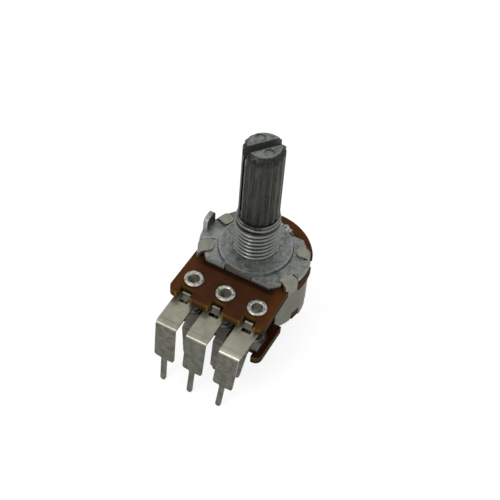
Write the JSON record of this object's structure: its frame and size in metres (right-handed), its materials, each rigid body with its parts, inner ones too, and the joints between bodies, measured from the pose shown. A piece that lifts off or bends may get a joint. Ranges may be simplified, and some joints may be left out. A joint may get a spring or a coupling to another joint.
{
  "type": "dual-gang rotary potentiometer",
  "caption": "Panel-mount dual-gang rotary potentiometer with a knurled split shaft, threaded bushing, brown board tongues and rows of bent solder terminals.",
  "frame": {"origin": "on the shaft's axis, in the plane of the round step's face that bears on the back of a panel", "axes": "+Z along the shaft towards its tip, -Y towards the terminals, +X to the right when the shaft points at you and the terminals point down"},
  "size_m": [0.0164, 0.026, 0.0346],
  "materials": {
    "zinc_casting": "die-cast zinc, dull and mottled",
    "shaft_zinc": "die-cast zinc, dark and dull",
    "phenolic_board": "red-brown paper phenolic, punched, satin",
    "tinned_terminal": "tinned brass, satin",
    "eyelet_tin": "tinned brass, bright",
    "tinned_steel": "tin plate, satin",
    "black_nylon": "moulded, satin",
    "wiper_bronze": "phosphor bronze sheet"
  },
  "bodies": {
    "housing": {"front_plate": "zinc_casting", "front_wafer": "phenolic_board", "front_terminal_left": "tinned_terminal", "front_terminal_middle": "tinned_terminal", "front_terminal_right": "tinned_terminal", "front_eyelet_left": "eyelet_tin", "front_eyelet_middle": "eyelet_tin", "front_eyelet_right": "eyelet_tin", "housing_shell": "tinned_steel", "rear_wafer": "phenolic_board", "rear_terminal_left": "tinned_terminal", "rear_terminal_middle": "tinned_terminal", "rear_terminal_right": "tinned_terminal", "rear_eyelet_left": "eyelet_tin", "rear_eyelet_middle": "eyelet_tin", "rear_eyelet_right": "eyelet_tin"},
    "shaft": {"shaft": "shaft_zinc", "front_rotor": "black_nylon", "rear_rotor": "black_nylon", "front_wiper": "wiper_bronze", "rear_wiper": "wiper_bronze"}
  },
  "joints": [
    {"name": "shaft_turn", "type": "hinge", "parent": "housing", "child": "shaft", "pos_m": [0, 0, 0], "axis": [0, 0, 1], "range_deg": [-111, 189]}
  ]
}
